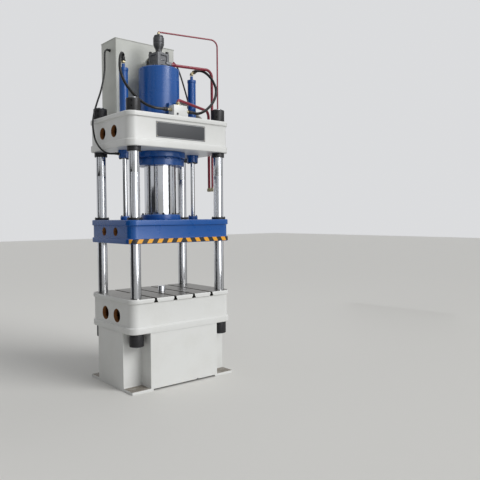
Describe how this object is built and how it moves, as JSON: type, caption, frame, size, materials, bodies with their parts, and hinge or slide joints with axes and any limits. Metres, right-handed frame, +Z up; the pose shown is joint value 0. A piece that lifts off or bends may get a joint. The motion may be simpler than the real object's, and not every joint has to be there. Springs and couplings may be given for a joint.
{
  "type": "four_column_hydraulic_press",
  "caption": "Four-column hydraulic press with a blue slide and cylinder, off-white bed and crown, lift cylinders, fill tank and table ejector",
  "frame": {"origin": "the middle of the press's plan, on the floor under its feet", "axes": "+X to the right seen from the front, +Y to the back, +Z up along the columns"},
  "size_m": [1.4213, 1.0976, 3.8813],
  "materials": {
    "off_white_paint": "satin machine enamel",
    "blue_paint": "satin machine enamel",
    "hard_chrome": "ground and polished",
    "black_oxide_steel": "blackened, lightly oiled",
    "bearing_bronze": "machined",
    "black_rubber": "hose cover, dull",
    "hazard_tape": "yellow and black stripes",
    "phosphated_steel": "phosphated, oily",
    "tank_grey_paint": "satin sheet-metal paint",
    "red_pipe_paint": "gloss pipe enamel",
    "grey_hose": "ribbed hose cover"
  },
  "bodies": {
    "frame": {"table_beam": "off_white_paint", "pedestal": "off_white_paint", "crown": "off_white_paint", "manifold_block": "off_white_paint", "main_cylinder": "blue_paint", "cylinder_lock_nut": "blue_paint", "gland_flange": "blue_paint", "side_cylinder_left": "blue_paint", "side_cylinder_right": "blue_paint", "side_gland_left": "blue_paint", "side_gland_right": "blue_paint", "ejector_cylinder": "blue_paint", "column_front_left": "hard_chrome", "bottom_nut_front_left": "black_oxide_steel", "top_nut_front_left": "black_oxide_steel", "adjusting_nut_front_left": "black_oxide_steel", "column_front_right": "hard_chrome", "bottom_nut_front_right": "black_oxide_steel", "top_nut_front_right": "black_oxide_steel", "adjusting_nut_front_right": "black_oxide_steel", "column_rear_left": "hard_chrome", "bottom_nut_rear_left": "black_oxide_steel", "top_nut_rear_left": "black_oxide_steel", "adjusting_nut_rear_left": "black_oxide_steel", "column_rear_right": "hard_chrome", "bottom_nut_rear_right": "black_oxide_steel", "top_nut_rear_right": "black_oxide_steel", "adjusting_nut_rear_right": "black_oxide_steel", "ram_bush": "bearing_bronze", "ram_packing": "black_rubber", "prefill_valve": "phosphated_steel", "prefill_actuator": "phosphated_steel", "pipe_bracket": "phosphated_steel", "fill_tank": "tank_grey_paint", "pressure_pipe": "red_pipe_paint", "prefill_pipe": "red_pipe_paint", "pilot_pipe": "red_pipe_paint", "return_hose_left": "black_rubber", "return_hose_right": "black_rubber", "drain_hose_left": "black_rubber", "drain_hose_right": "black_rubber", "suction_hose": "grey_hose"},
    "slide": {"slide": "blue_paint", "hazard_strip": "hazard_tape", "main_ram": "hard_chrome", "ram_flange": "blue_paint", "side_rod_left": "hard_chrome", "side_rod_right": "hard_chrome", "rod_foot_left": "blue_paint", "rod_foot_right": "blue_paint", "guide_bush_front_left": "bearing_bronze", "guide_bush_front_right": "bearing_bronze", "guide_bush_rear_left": "bearing_bronze", "guide_bush_rear_right": "bearing_bronze", "wiper_cover_front_left": "black_oxide_steel", "wiper_cover_front_right": "black_oxide_steel", "wiper_cover_rear_left": "black_oxide_steel", "wiper_cover_rear_right": "black_oxide_steel"},
    "ejector": {"ejector_rod": "hard_chrome"}
  },
  "joints": [
    {"name": "slide_travel", "type": "slide", "parent": "frame", "child": "slide", "axis": [0, 0, 1], "range_m": [-0.24, 0.46]},
    {"name": "ejector_lift", "type": "slide", "parent": "frame", "child": "ejector", "axis": [0, 0, 1], "range_m": [-0.06, 0.14]}
  ]
}
